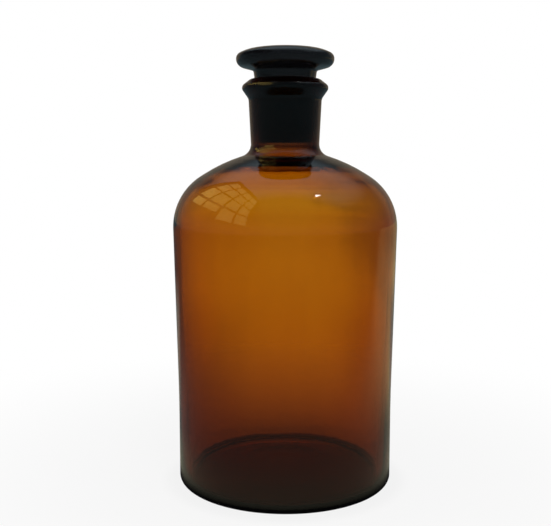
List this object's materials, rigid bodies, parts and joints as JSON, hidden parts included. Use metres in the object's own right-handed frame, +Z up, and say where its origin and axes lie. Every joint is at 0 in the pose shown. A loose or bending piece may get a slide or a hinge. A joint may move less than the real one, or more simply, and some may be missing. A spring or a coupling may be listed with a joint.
{
  "type": "reagent bottle",
  "caption": "Narrow-necked amber glass reagent bottle with domed shoulder and beaded lip, closed by a flat-headed ground glass stopper that lifts out of its tapered socket.",
  "frame": {"origin": "centre of the ring that the bottle stands on", "axes": "+Z up along the bottle's axis, from the base to the mouth"},
  "size_m": [0.1076, 0.1076, 0.2088],
  "materials": {
    "bottle_glass": "clear amber glass, fire polished, ground inside the neck",
    "stopper_glass": "solid amber glass, polished head, ground plug"
  },
  "bodies": {
    "bottle": {"bottle": "bottle_glass"},
    "stopper": {"stopper": "stopper_glass"}
  },
  "joints": [
    {"name": "stopper_lift", "type": "slide", "parent": "bottle", "child": "stopper", "axis": [0, 0, 1], "range_m": [0, 0.05]}
  ]
}
